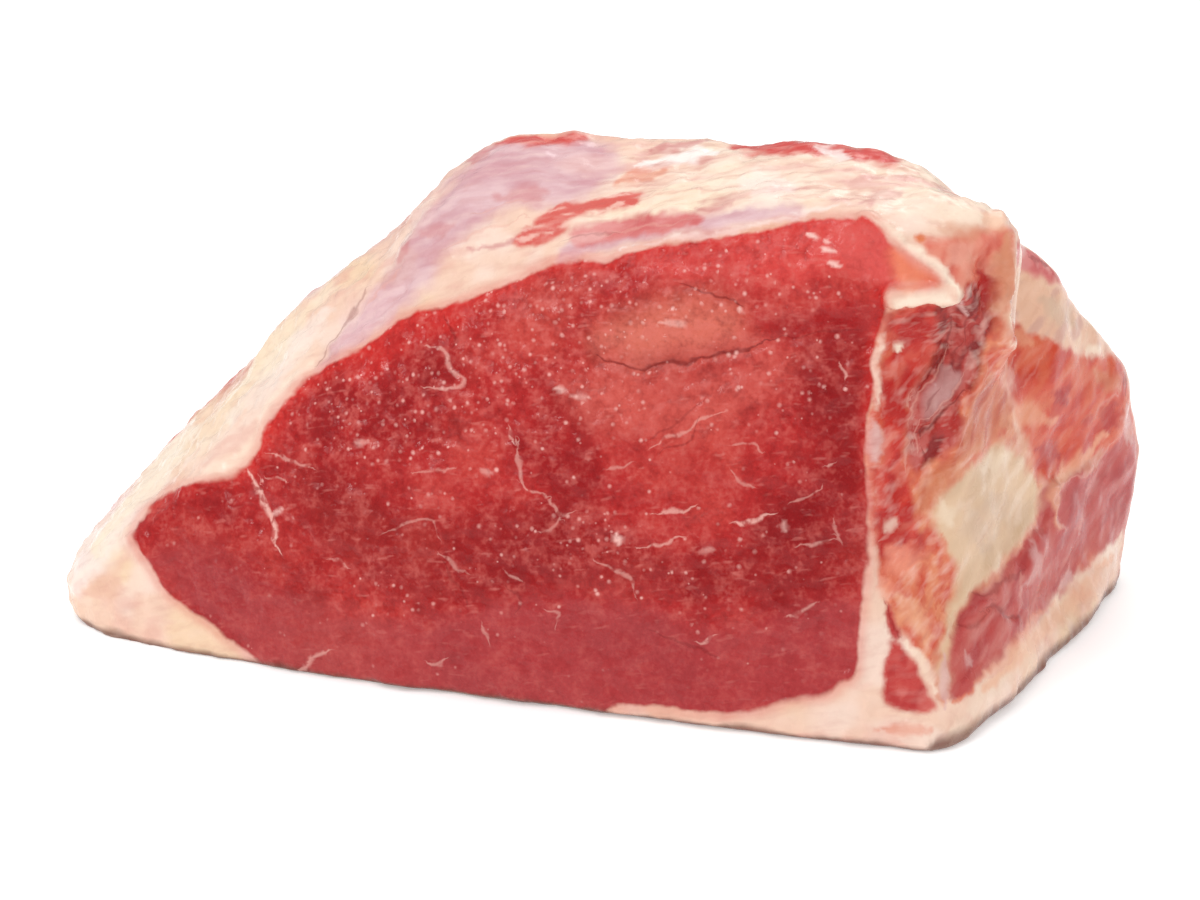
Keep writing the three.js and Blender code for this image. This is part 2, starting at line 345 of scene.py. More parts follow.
# Where the painted glints gather on the cut face.
GLINTS = [
    (310, 425, 50, 0.8), (370, 405, 55, 0.7), (470, 350, 60, 0.7), (540, 322, 55, 0.8), (595, 292, 40, 0.7),
    (650, 300, 35, 0.6), (570, 345, 40, 0.6), (600, 385, 60, 0.6), (755, 268, 45, 0.7), (790, 292, 40, 0.6),
    (740, 370, 45, 0.5), (790, 400, 45, 0.55), (825, 370, 35, 0.5), (490, 410, 50, 0.6),
    (565, 545, 50, 0.7), (620, 545, 45, 0.55), (385, 590, 30, 0.7), (430, 490, 50, 0.3),
    (700, 560, 50, 0.3), (700, 322, 30, 0.3), (460, 570, 40, 0.3), (790, 560, 40, 0.3),
]

# Thin lines: points in pixels, half width in millimetres and strength. Strands of fat and clefts lie in the
# cut face, pale fibres and dark creases outside it. Clefts and creases are painted shade in hollows.
LINES = {
    "strand": [
        ([(246, 472), (268, 515), (283, 554)], 1.0, 1.0),
        ([(427, 346), (444, 352), (453, 372), (467, 380), (446, 390), (424, 385)], 0.7, 0.6),
        ([(652, 515), (676, 512), (696, 505)], 0.6, 0.7), ([(733, 522), (752, 522), (775, 510)], 0.8, 0.9),
        ([(638, 547), (662, 546), (683, 537)], 0.6, 0.6), ([(693, 639), (703, 644), (718, 635)], 0.6, 0.6),
        ([(788, 620), (816, 604)], 0.8, 0.5), ([(428, 665), (438, 668), (448, 660)], 0.6, 0.5),
        ([(519, 440), (524, 484), (547, 497)], 0.7, 0.5), ([(300, 668), (318, 656), (330, 652)], 0.8, 0.6),
        ([(545, 608), (560, 612), (556, 626)], 0.5, 0.4), ([(504, 572), (522, 580)], 0.8, 0.5),
        ([(270, 453), (314, 469)], 0.6, 0.5), ([(265, 477), (287, 482)], 0.6, 0.5),
        ([(800, 547), (833, 541)], 0.7, 0.5), ([(411, 476), (454, 469)], 0.5, 0.4),
        ([(510, 430), (515, 440)], 0.8, 0.7), ([(836, 520), (842, 545)], 0.6, 0.4),
        ([(840, 365), (845, 378)], 0.7, 0.6), ([(649, 449), (724, 410)], 0.6, 0.45),
        ([(522, 486), (544, 497), (560, 514), (578, 513)], 0.6, 0.5),
        ([(560, 514), (552, 530), (541, 533)], 0.5, 0.4),
        ([(382, 533), (408, 522), (431, 522), (439, 537)], 0.5, 0.4),
        ([(439, 552), (458, 567), (473, 575)], 0.6, 0.4), ([(325, 560), (348, 567)], 0.6, 0.4),
        ([(484, 624), (488, 643)], 0.6, 0.4), ([(606, 470), (631, 465)], 0.6, 0.4),
        ([(727, 442), (745, 442), (763, 452)], 0.5, 0.4), ([(731, 470), (741, 484), (756, 488)], 0.5, 0.4),
        ([(791, 502), (820, 488)], 0.6, 0.45), ([(827, 467), (837, 461)], 0.6, 0.6),
        ([(596, 559), (624, 573), (636, 595)], 0.6, 0.5),
    ],
    "cleft_shade": [
        ([(600, 354), (626, 366), (655, 366), (703, 358), (744, 348), (775, 338)], 0.6, 0.9),
        ([(683, 282), (700, 293), (725, 297), (736, 304), (741, 310)], 0.5, 0.8),
        ([(647, 631), (690, 645), (716, 660)], 0.5, 0.5), ([(446, 318), (456, 335), (452, 348)], 0.6, 0.6),
        ([(700, 420), (690, 440), (660, 452)], 0.5, 0.5), ([(505, 588), (520, 600), (512, 612)], 0.5, 0.5),
        ([(442, 560), (458, 586), (465, 605)], 0.6, 0.45), ([(640, 444), (676, 424), (706, 399)], 0.5, 0.4),
        ([(775, 338), (820, 334), (862, 326)], 0.5, 0.5),
    ],
    "fibre": [
        ([(949, 348), (944, 363), (923, 391), (913, 408)], 0.5, 0.8),
        ([(964, 373), (957, 388), (938, 408), (921, 418)], 0.5, 0.8),
        ([(986, 365), (967, 403), (961, 415)], 0.5, 0.7), ([(965, 418), (963, 432), (955, 449)], 0.5, 0.7),
        ([(913, 393), (908, 425)], 0.4, 0.7), ([(918, 420), (917, 455)], 0.4, 0.7),
        ([(910, 437), (907, 455), (908, 473)], 0.4, 0.8),
        ([(1015, 355), (1004, 370), (996, 375)], 0.6, 0.7),
        ([(1054, 502), (1060, 522), (1066, 533)], 0.5, 0.8), ([(1086, 513), (1080, 533)], 0.5, 0.7),
        ([(1055, 485), (1093, 467), (1112, 440)], 0.6, 0.8), ([(1021, 570), (1023, 604)], 0.5, 0.6),
        ([(893, 526), (879, 539)], 0.8, 0.6), ([(990, 681), (1014, 657)], 0.5, 0.6),
        ([(1120, 375), (1121, 390)], 0.5, 0.9), ([(1094, 420), (1104, 402), (1118, 394)], 0.7, 0.6),
        ([(1040, 355), (1030, 375), (1018, 392)], 0.5, 0.4),
        ([(470, 215), (500, 206), (530, 200)], 0.5, 0.6), ([(440, 250), (480, 232), (530, 215)], 0.6, 0.6),
        ([(360, 312), (405, 262)], 0.5, 0.6), ([(600, 236), (640, 226), (690, 222)], 0.5, 0.6),
        ([(640, 200), (690, 193), (720, 195)], 0.6, 0.5), ([(780, 200), (810, 197), (850, 190)], 0.6, 0.5),
    ],
    "crease": [
        # The first is painted shadow under the lip; the others are painted shade in folds, hollows and edges.
        ([(894, 311), (933, 309), (945, 307), (956, 301)], 0.6, 1.0),
        ([(968, 309), (976, 303), (987, 299)], 0.6, 0.8),
        ([(945, 323), (952, 322), (945, 342), (944, 355), (929, 373), (922, 388)], 0.6, 0.8),
        ([(963, 339), (969, 321), (974, 314)], 0.5, 0.7), ([(959, 341), (953, 358), (956, 370)], 0.5, 0.7),
        ([(964, 392), (938, 418), (925, 431), (922, 437)], 0.7, 0.9), ([(938, 388), (921, 410)], 0.4, 0.6),
        ([(922, 452), (924, 461)], 0.8, 0.9),
        ([(988, 609), (1001, 608), (1017, 619)], 1.1, 0.6),
        ([(962, 622), (975, 626), (990, 615)], 1.1, 0.5),
        ([(978, 594), (988, 595), (997, 586), (1014, 577), (1021, 569)], 0.8, 0.5),
        ([(1120, 364), (1126, 380), (1127, 398)], 0.7, 0.8),
        ([(314, 363), (359, 298), (368, 286)], 0.5, 0.6), ([(884, 600), (899, 637)], 0.4, 0.5),
        ([(560, 244), (590, 236), (620, 232)], 0.4, 0.4), ([(1030, 258), (1050, 270)], 0.6, 0.6),
    ],
}
LINE_COLOURS = {
    "strand": (244, 188, 176), "cleft_shade": (110, 12, 16), "fibre": (230, 168, 154), "crease": (122, 16, 16),
}

# Colours of what is too fine to paint: grain, dashes, painted glints and painted sheen in the cut,
# and streaks outside it.
FINE_COLOURS = {
    "pale grain": (222, 116, 106), "dark grain": (122, 12, 16), "dash": (230, 140, 130),
    "painted_glint": (244, 184, 175), "haze": (226, 116, 108), "stray_glint": (240, 166, 156),
    "pale streak": (252, 224, 210), "dark streak": (184, 90, 84),
}

# Paints outside the cut: colour, streakiness and tints. A tint has a colour, a share, the levels of a noise
# where it begins and is full, and the noise's spacing, direction, stretch, octaves and shift.
PAINTS = {
    "fat": ((241, 204, 182), 0.25, [
        ((243, 212, 176), 0.7, 0.0, 0.5, (24,)),
        ((247, 221, 206), 0.7, 0.05, 0.5, (15, None, 1, 2, 4.4)),
        ((228, 172, 156), 0.5, 0.1, 0.5, (9, ALONG_TOP, 2, 3, 8.2)),
    ]),
    "marbled": ((241, 206, 186), 0.6, [
        ((250, 230, 210), 0.8, 0.0, 0.4, (5, ALONG_TOP, 3, 3, 1.7)),
        ((226, 170, 162), 0.7, -0.05, -0.45, (5, ALONG_TOP, 3, 3, 1.7)),
        ((248, 226, 198), 0.7, 0.0, 0.4, (11, ALONG_TOP, 3, 2, 5.3)),
    ]),
    "dull fat": ((226, 192, 158), 0.12, [
        ((212, 178, 146), 0.7, -0.1, 0.5, (7, ALONG_HEEL, 2.5)),
        ((240, 214, 190), 0.5, 0.1, 0.5, (5, ALONG_HEEL, 2.5, 2, 2.0)),
    ]),
    "grey fat": ((234, 188, 160), 0.2, [
        ((212, 164, 148), 0.8, 0.0, 0.4, (4, ALONG_HEEL, 2.5)),
        ((236, 202, 174), 0.6, 0.1, 0.5, (4, ALONG_HEEL, 2.5, 2, 6.0)),
    ]),
    "skin": ((214, 168, 174), 0.35, [
        ((232, 198, 200), 0.6, 0.0, 0.5, (6, ALONG_TOP, 3, 3)),
        ((206, 146, 154), 0.5, -0.05, -0.5, (6, ALONG_TOP, 3, 3)),
        ((236, 196, 190), 0.6, 0.1, 0.5, (16, ALONG_TOP, 2, 2, 2.9)),
    ]),
    "folds": ((175, 54, 48), 0.65, [
        ((201, 108, 100), 0.7, 0.05, 0.4, (3.2, ALONG_FOLDS, 4, 3, 6.1)),
        ((120, 24, 26), 0.8, 0.0, -0.35, (3.2, ALONG_FOLDS, 4, 3, 6.1)),
    ]),
    "film": ((216, 110, 82), 0.6, [
        ((228, 144, 106), 0.8, 0.0, 0.4, (4, ALONG_FOLDS, 1.5, 4, 1.1)),
        ((206, 74, 54), 0.8, -0.05, -0.4, (4, ALONG_FOLDS, 1.5, 4, 1.1)),
    ]),
    "blush": ((216, 98, 88), 0.3, [((242, 188, 174), 0.9, 0.1, 0.5, (2.0, ALONG_TOP, 3, 2, 4.7))]),
    "top red": ((208, 66, 60), 0.3, [((228, 130, 120), 0.9, 0.1, 0.5, (2.0, ALONG_TOP, 3, 2, 4.7))]),
}

# Bare muscle outside the cut: plain, paler, deeper and fibre colour, direction of the fibres and streakiness.
MUSCLES = {
    "salmon": ((222, 120, 100), (230, 146, 124), (206, 94, 78), (234, 170, 148), ALONG_FOLDS, 0.15),
    "mauve": ((178, 118, 114), (192, 136, 132), (162, 96, 94), (204, 152, 148), ALONG_FOLDS, 0.15),
    "tan": ((200, 104, 72), (210, 126, 90), (182, 80, 58), (216, 142, 108), ALONG_FOLDS, 0.3),
    "strip": ((202, 54, 44), (217, 90, 74), (178, 32, 30), (224, 122, 102), ALONG_HEEL, 0.5),
    "orange": ((209, 78, 52), (216, 104, 74), (194, 56, 42), (220, 118, 86), ALONG_HEEL, 0.2),
    "purple": ((190, 78, 74), (198, 98, 90), (174, 58, 58), (206, 124, 116), ALONG_HEEL, 0.15),
    "red": ((196, 70, 66), (206, 90, 82), (180, 52, 52), (212, 108, 100), ALONG_HEEL, 0.15),
    "rose": ((214, 118, 116), (226, 150, 146), (202, 94, 94), (238, 190, 184), ALONG_TOP, 0.15),
}

# Blood along the cut's edge: its share, how far outside it lies, its width in millimetres and its colour.
BLOOD_SHARE = 0.45
BLOOD_OUTSIDE = 0.4
BLOOD_WIDTH = 1.6
BLOOD_COLOUR = (220, 120, 108)

# Colours of the cut face: the plain one, large dark and pale blotches, spots and bright dashes.
CUT_COLOURS = {
    "plain": (181, 40, 40), "dark": (150, 22, 26), "pale": (200, 68, 61), "pale spot": (218, 102, 88),
    "dark spot": (134, 18, 22), "dash": (250, 200, 190),
}

# Painted light: a brighter rim inside the cut's edge, in its upper part, where the face turns to the light.
# Its width in millimetres, its share and colour, and the rows of the photo where it begins and is full.
RIM_WIDTH = 3
RIM_SHARE = 0.8
RIM_COLOUR = (214, 46, 40)
RIM_BEGINS = 540
RIM_FULL = 440

# Painted contact shade, a dark line at the foot: where it is full and where it ends in millimetres,
# its share and colour.
FOOT_SHADE_FULL = 1.8
FOOT_SHADE_END = 3.4
FOOT_SHADE_SHARE = 0.85
FOOT_SHADE_COLOUR = (104, 56, 40)

# Relief in millimetres, as sums of noises: the height, spacing, octaves and shift of each. On the heel the
# small lumps lose a share. The relief fades in between two heights over the floor.
CUT_LUMPS = [(0.45, 3.0, 2, 0.0), (0.6, 9, 2, 5.5)]
LARGE_LUMPS = [(0.9, 12, 2, 2.2)]
SMALL_LUMPS = [(0.45, 5, 2, 9.1), (0.25, 2.4, 2, 3.9)]
HEEL_LOSS = 0.8
RELIEF_FADE = (0.2 * MM, 5 * MM)

# A low ridge of fat round the cut: its height, how far outside the cut it lies and its width in millimetres.
RIDGE_HEIGHT = 0.4
RIDGE_OUTSIDE = 1.2
RIDGE_WIDTH = 1.1

# The foot's uneven edge in millimetres: noises that move it sideways, its sag, and how high both reach.
HEM_LUMPS = [(1.3, 14, 3, 7.7), (0.4, 4, 2, 1.9)]
HEM_HEIGHT = 7
SAG = 1.3
SAG_HEIGHT = 4

# Folds too fine for the solid: points in pixels, half width and height in millimetres.
FOLDS = [
    ([(868, 219), (905, 243), (936, 268), (957, 292)], 1.7, 1.6), ([(957, 297), (890, 299)], 2.4, 2.0),
    ([(960, 306), (940, 312), (886, 314)], 1.8, -2.0),
    ([(884, 335), (876, 365), (875, 440), (870, 500), (868, 560)], 1.5, 0.7),
    ([(600, 356), (626, 366), (655, 366), (744, 348), (790, 336)], 1.4, -0.8),
    ([(683, 284), (735, 303), (746, 322)], 1.3, -0.5), ([(912, 445), (918, 400), (957, 318)], 1.4, -1.0),
    ([(925, 430), (962, 385), (975, 330)], 1.3, -0.9), ([(918, 425), (936, 396), (948, 360)], 1.5, 0.8),
    ([(955, 450), (966, 410), (984, 370)], 1.5, 0.8), ([(987, 265), (991, 288), (990, 310)], 2.4, -2.6),
    ([(1000, 219), (1008, 250), (1002, 315), (1004, 342)], 2.0, 2.2),
    ([(1020, 262), (1014, 330)], 1.8, -1.0), ([(1043, 470), (1041, 500), (1045, 525)], 1.5, -0.8),
    ([(1055, 485), (1093, 467)], 1.2, 0.7), ([(1055, 485), (1052, 505), (1059, 527)], 1.2, 0.7),
    ([(960, 623), (985, 611), (1001, 607), (1020, 618)], 1.4, -0.7),
    ([(952, 634), (976, 597), (1014, 562), (1036, 530)], 1.6, -0.7),
    ([(94, 600), (106, 571), (127, 547)], 2.0, -0.6),
    ([(316, 366), (340, 325), (361, 300), (407, 224)], 2.0, -0.6),
    ([(330, 372), (400, 330), (500, 300)], 2.5, 0.5), ([(555, 136), (590, 138)], 5.0, -1.2),
    ([(420, 236), (455, 224)], 2.0, -0.5), ([(540, 205), (620, 186)], 2.0, -0.6),
    ([(600, 240), (760, 215)], 1.6, 0.5), ([(660, 200), (760, 190), (840, 200)], 3.0, 0.8),
    ([(640, 180), (700, 172)], 2.0, -0.7), ([(700, 160), (800, 170), (900, 186)], 2.6, 0.7),
    ([(860, 190), (920, 200), (980, 212)], 2.6, 0.6),
]


def srgb(r, g, b):
    """A linear colour from the numbers that a screen shows."""
    return tuple(((c / 255 + 0.055) / 1.055) ** 2.4 for c in (r, g, b))


def smoothstep(x, low, high):
    t = np.clip((x - low) / (high - low), 0, 1)
    return t * t * (3 - 2 * t)


def photo_pixels(points):
    """Where points in metres show in the photo."""
    rel = points - np.array(EYE)
    depth = -(rel @ np.array(BACK))
    x = IMAGE[0] / 2 + FOCAL_PIXELS * (rel @ np.array(RIGHT)) / depth
    y = IMAGE[1] / 2 - FOCAL_PIXELS * (rel @ np.array(UP)) / depth
    return np.stack([x, y], 1)


def curve_through(points, closed=False):
    """A smooth line through points, as many short steps."""
    p = np.array(points, float)
    if len(p) == 1:
        return np.concatenate([p, p])
    if closed:
        p = np.concatenate([p[-1:], p, p[:2]])
    else:
        p = np.concatenate([2 * p[:1] - p[1:2], p, 2 * p[-1:] - p[-2:-1]])
    steps = np.linspace(0, 1, 5, endpoint=False)[:, None]
    spans = []
    for a, b, c, d in zip(p, p[1:], p[2:], p[3:]):
        bend = (c - a) * steps + (2 * a - 5 * b + 4 * c - d) * steps**2 + (3 * b - a - 3 * c + d) * steps**3
        spans.append(b + bend / 2)
    if not closed:
        spans.append(p[-2:-1])
    return np.concatenate(spans)


def nearest_on(line, pixels, closed=False):
    """Distance to a line in millimetres, the side each pixel lies on, and the share of the line passed."""
    ends = np.roll(line, -1, axis=0) if closed else line[1:]
    starts = line if closed else line[:-1]
    best = np.full(len(pixels), np.inf)
    side = np.zeros(len(pixels))
    share = np.zeros(len(pixels))
    for i, (a, b) in enumerate(zip(starts, ends)):
        along = b - a
        rel = pixels - a
        t = np.clip(rel @ along / max(along @ along, 1e-9), 0, 1)
        off = rel - t[:, None] * along
        distance = np.hypot(off[:, 0], off[:, 1])
        near = distance < best
        best = np.where(near, distance, best)
        side = np.where(near, np.sign(along[0] * rel[:, 1] - along[1] * rel[:, 0]), side)
        share = np.where(near, (i + t) / len(starts), share)
    return best / PIXELS_PER_MM, side, share


def close_to(line, pixels, reach):
    """The pixels in the box of a line, made larger by a reach in millimetres."""
    margin = reach * PIXELS_PER_MM
    return ((pixels > line.min(0) - margin) & (pixels < line.max(0) + margin)).all(1)


def inside(line, pixels):
    x, y = pixels[:, 0], pixels[:, 1]
    odd = np.zeros(len(pixels), bool)
    for a, b in zip(line, np.roll(line, -1, axis=0)):
        if a[1] == b[1]:
            continue
        crosses = (a[1] > y) != (b[1] > y)
        odd ^= crosses & (x < a[0] + (y - a[1]) / (b[1] - a[1]) * (b[0] - a[0]))
    return odd


def depth_in(outline, pixels):
    """How far inside an outline each pixel lies, in millimetres: negative outside, down to -FAR."""
    line = curve_through(outline, closed=True)
    near = close_to(line, pixels, FAR)
    depth = np.full(len(pixels), -FAR)
    distance = nearest_on(line, pixels[near], closed=True)[0]
    depth[near] = np.clip(np.where(inside(line, pixels[near]), distance, -distance), -FAR, FAR)
    return depth


def thinner_at_ends(points, width, share):
    """The half width along a line. A spot of one point is as wide all over."""
    if len(points) == 1:
        return width
    return width * np.clip(4 * np.minimum(share, 1 - share), 0.4, 1)


def stroke(points, width, pixels):
    """Share of a soft stroke at each pixel: 1 along its middle, thinner towards its ends."""
    line = curve_through(points)
    near = close_to(line, pixels, 2 * width)
    distance, _, passed = nearest_on(line, pixels[near])
    share = np.zeros(len(pixels))
    share[near] = 1 - smoothstep(distance / thinner_at_ends(points, width, passed), 0.3, 1.5)
    return share


def spots(places, pixels):
    total = np.zeros(len(pixels))
    for x, y, radius, amount in places:
        total += amount * np.exp(-((pixels[:, 0] - x) ** 2 + (pixels[:, 1] - y) ** 2) / radius**2)
    return total


def settle(piece):
    """Applies the piece's modifiers."""
    mesh = bpy.data.meshes.new_from_object(piece.evaluated_get(bpy.context.evaluated_depsgraph_get()))
    piece.modifiers.clear()
    piece.data = mesh
    return mesh


def vertex_arrays(mesh):
    points = np.empty(len(mesh.vertices) * 3)
    normals = np.empty(len(mesh.vertices) * 3)
    mesh.vertices.foreach_get("co", points)
    mesh.vertices.foreach_get("normal", normals)
    return points.reshape(-1, 3), normals.reshape(-1, 3)


def facing_camera(points, normals):
    towards = np.array(EYE) - points
    towards /= np.linalg.norm(towards, axis=1)[:, None]
    return (towards * normals).sum(1)


def fine_mesh(node):
    """A finer copy of the joint's solid, with small cells where it shows in the photo."""
    piece = bpy.data.objects.new("beef", node.data.copy())
    SCENE.collection.objects.link(piece)
    weld = piece.modifiers.new("weld", "WELD")
    weld.merge_threshold = WELD
    rounding = piece.modifiers.new("rounding", "SUBSURF")
    rounding.levels = ROUNDING
    cells = piece.modifiers.new("cells", "REMESH")
    cells.mode = "VOXEL"
    cells.voxel_size = CELL
    smoothing = piece.modifiers.new("smoothing", "SMOOTH")
    smoothing.iterations = SMOOTHING
    mesh = settle(piece)
    points, normals = vertex_arrays(mesh)
    hidden = (facing_camera(points, normals) < HIDDEN).nonzero()[0]
    group = piece.vertex_groups.new(name="hidden")
    group.add(hidden.tolist(), 1, "REPLACE")
    triangles = sum(len(p.vertices) - 2 for p in mesh.polygons)
    fewer = piece.modifiers.new("fewer", "DECIMATE")
    fewer.ratio = min(1, TRIANGLES / triangles)
    fewer.vertex_group = group.name
    settle(piece)
    piece.vertex_groups.clear()
    return piece


class Surface:
    """The mesh's vertices, and where they show in the photo."""

    def __init__(self, mesh):
        self.points, self.normals = vertex_arrays(mesh)
        self.pixels = photo_pixels(self.points)
        self.seen = smoothstep(facing_camera(self.points, self.normals), *SEEN)
        wander = np.stack([self.noise(WAVES, octaves=3), self.noise(WAVES, octaves=3, shift=31.7)], 1)
        self.wandering = self.pixels + WANDER * wander
        self.heel = smoothstep(self.normals[:, 0], *HEEL)
        self.lean = np.where(self.seen > 0.5, depth_in(LEAN, self.pixels), -FAR)

    def noise(self, spacing, along=None, stretch=4, octaves=2, shift=0.0):
        """Smooth noise from about -1 to 1, with bumps about that many millimetres apart."""
        scaled = self.points / (spacing * MM)
        if along is not None:
            axis = np.array(Vector(along).normalized())
            scaled = scaled - np.outer(scaled @ axis, axis) * (1 - 1 / stretch)
        return np.array([noise.fractal(p, FINER, CLOSER, octaves) for p in (scaled + shift).tolist()])

    def lumps(self, noises):
        """Noises added up: the height, spacing, octaves and shift of each."""
        total = 0
        for height, spacing, octaves, shift in noises:
            total = total + height * self.noise(spacing, octaves=octaves, shift=shift)
        return total

    def plain(self, colour, texture):
        """One colour all over. The fourth number says how streaky or rough it is."""
        return np.tile(srgb(*colour) + (texture,), (len(self.points), 1))

    def near_lines(self, lines):
        """Distance to the nearest line as a share of its width, with a sign for the side, and a mask."""
        offset = np.full(len(self.points), FAR)
        closest = np.full(len(self.points), np.inf)
        mask = np.zeros(len(self.points))
        for points, width, strength in lines:
            line = curve_through(points)
            near = close_to(line, self.wandering, FAR).nonzero()[0]
            distance, side, share = nearest_on(line, self.wandering[near])
            best = distance < closest[near]
            taper = thinner_at_ends(points, width, share)
            offset[near] = np.where(best, side * distance / taper, offset[near])
            closest[near] = np.minimum(distance, closest[near])
            past = np.where((share <= 0) | (share >= 1), 0.0, width)
            reach = strength * (1 - smoothstep(distance, past + 0.3, past + 1.1))
            mask[near] = np.maximum(mask[near], reach)
        return offset, mask * self.seen


def over(paint, share, other):
    """The paint with a share of another paint over it."""
    return paint + (other - paint) * np.clip(share, 0, 1)[:, None]


def tint(paint, share, colour):
    """The paint with a share of a colour over it, as rough as before."""
    other = paint.copy()
    other[:, :3] = srgb(*colour)
    return over(paint, share, other)


def tinted_paint(s, colour, texture, tints):
    """A plain colour with tints over it, each where a noise passes its levels."""
    paint = s.plain(colour, texture)
    for over_colour, share, begins, full, waves in tints:
        paint = tint(paint, share * smoothstep(s.noise(*waves), begins, full), over_colour)
    return paint


def muscle_paint(s, plain, pale, deep, fibre, along, texture):
    """Bare muscle: paler and deeper patches, and fibres of membrane."""
    patches = (6, along, 2.8, 3, 5.8)
    fibres = (4, along, 2.8, 2, 3.3)
    return tinted_paint(s, plain, texture, [
        (pale, 0.8, 0.0, 0.45, patches),
        (deep, 0.8, -0.05, -0.45, patches),
        (fibre, 0.5, 0.1, 0.5, fibres),
    ])


def outside_paint(s):
    paints = {name: muscle_paint(s, *look) for name, look in MUSCLES.items()}
    paints |= {name: tinted_paint(s, *look) for name, look in PAINTS.items()}
    paint = paints["fat"]
    for name, soft, outline in ZONES:
        paint = over(paint, smoothstep(depth_in(outline, s.wandering), -soft, soft), paints[name])
    for name, strokes in STROKES.items():
        for points, width, strength in strokes:
            paint = tint(paint, strength * stroke(points, width, s.wandering), STROKE_COLOURS[name])
    blood = BLOOD_SHARE * np.exp(-(((s.lean + BLOOD_OUTSIDE) / BLOOD_WIDTH) ** 2))
    paint = tint(paint, blood, BLOOD_COLOUR)
    return with_painted_foot_shade(s, over(hidden_paint(s, paints), s.seen, paint))


def with_painted_foot_shade(s, paint):
    """The paint with painted contact shade: a dark line where the joint touches what it lies on."""
    uneven = 0.95 + 0.25 * s.noise(12, octaves=2, shift=3.6) + 0.7 * smoothstep(s.normals[:, 0], 0.2, 0.6)
    unshaded = smoothstep(s.points[:, 2] / MM, FOOT_SHADE_FULL * uneven, FOOT_SHADE_END * uneven)
    return tint(paint, FOOT_SHADE_SHARE * (1 - unshaded), FOOT_SHADE_COLOUR)


def hidden_paint(s, paints):
    """The sides that the photo doesn't show: fat with streaks of skin and muscle, and plain fat below."""
    below = smoothstep(-s.normals[:, 2], 0.5, 0.8)
    streak = s.noise(14, ALONG_TOP, 4, 3)
    patch = s.noise(38, ALONG_TOP, 2, 2, 3.1)
    heel = smoothstep(s.normals[:, 0], 0.2, 0.5)
    paint = over(paints["fat"], smoothstep(patch + 0.4 * streak - below - heel, -0.2, 0.5), paints["skin"])
    paint = over(paint, 0.8 * smoothstep(streak - patch - 0.4 - below, -0.25, 0.3), paints["red"])
    return tint(paint, 0.4 * smoothstep(streak, 0.0, 0.4), (214, 130, 112))


def lean_paint(s):
    blotch = s.noise(26, octaves=3)
    grain = s.noise(7, octaves=2, shift=7.1)
    paint = s.plain(CUT_COLOURS["plain"], 1.0)
    paint = tint(paint, 0.8 * smoothstep(blotch + 0.4 * grain, -0.1, 0.7), CUT_COLOURS["dark"])
    paint = tint(paint, 0.7 * smoothstep(0.4 * grain - blotch, -0.1, 0.7), CUT_COLOURS["pale"])
    # Painted light: a brighter rim along the cut's edge, in its upper part.
    lit_rim = np.exp(-((s.lean / RIM_WIDTH) ** 2)) * smoothstep(-s.pixels[:, 1], -RIM_BEGINS, -RIM_FULL)
    paint = tint(paint, RIM_SHARE * lit_rim, RIM_COLOUR)
    for colour, rough, soft, strength, outline in LEAN_ZONES:
        share = smoothstep(depth_in(outline, s.wandering), -soft, soft)
        paint = tint(paint, strength * share, colour)
        paint[:, 3] += (rough - paint[:, 3]) * share
    paint = tint(paint, 0.7 * spots(PALE_LEAN, s.wandering), CUT_COLOURS["pale spot"])
    paint = tint(paint, 0.7 * spots(DARK_LEAN, s.wandering), CUT_COLOURS["dark spot"])
    for points, width, strength in DASHES:
        paint = tint(paint, strength * stroke(points, width, s.pixels), CUT_COLOURS["dash"])
    return with_painted_foot_shade(s, paint)


def relief(s):
    """How far each vertex moves out along its normal, in millimetres."""
    lean = smoothstep(s.lean, -0.6, 0.6)
    out = np.zeros(len(s.points))
    for points, width, height in FOLDS:
        distance = nearest_on(curve_through(points), s.wandering)[0]
        out += height * np.exp(-((distance / width) ** 2)) * s.seen
    out += RIDGE_HEIGHT * np.exp(-(((s.lean + RIDGE_OUTSIDE) / RIDGE_WIDTH) ** 2))
    lumps = s.lumps(LARGE_LUMPS) + s.lumps(SMALL_LUMPS) * (1 - HEEL_LOSS * s.heel)
    out += lean * s.lumps(CUT_LUMPS) + (1 - lean) * lumps
    return out * smoothstep(s.points[:, 2], *RELIEF_FADE)


def hem(s):
    """How far the foot's uneven edge moves sideways, and how far it sags to the floor, in millimetres."""
    height = s.points[:, 2] / MM
    sideways = s.lumps(HEM_LUMPS) * np.exp(-((height / HEM_HEIGHT) ** 2))
    return sideways, SAG * np.exp(-((height / SAG_HEIGHT) ** 2))


def make_beef():
    piece = fine_mesh(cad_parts["beef_joint"])
    mesh = piece.data
    s = Surface(mesh)
    fields = {
        "lean": s.lean,
        "blur": CUT_BLUR + spots(SOFT_EDGES, s.pixels),
        "glint": np.minimum(spots(GLINTS, s.pixels), 1) * s.seen,
        "heel": s.heel,
    }
    for name, lines in LINES.items():
        fields[name], fields[name + "_mask"] = s.near_lines(lines)
    for name, values in fields.items():
        mesh.attributes.new(name, "FLOAT", "POINT").data.foreach_set("value", values.astype(np.float32))
    for name, values in (("outside", outside_paint(s)), ("cut", lean_paint(s))):
        colours = values.astype(np.float32).ravel()
        mesh.attributes.new(name, "FLOAT_COLOR", "POINT").data.foreach_set("color", colours)
    points = s.points + s.normals * (relief(s) * MM)[:, None]
    sideways, sag = hem(s)
    points[:, :2] += s.normals[:, :2] * (sideways * MM)[:, None]
    points[:, 2] = np.maximum(points[:, 2] - sag * MM, 0)
    mesh.vertices.foreach_set("co", points.ravel())
    mesh.shade_smooth()
    mesh.materials.clear()
    mesh.materials.append(beef_material())
    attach(piece, "root")
    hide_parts("beef_joint")


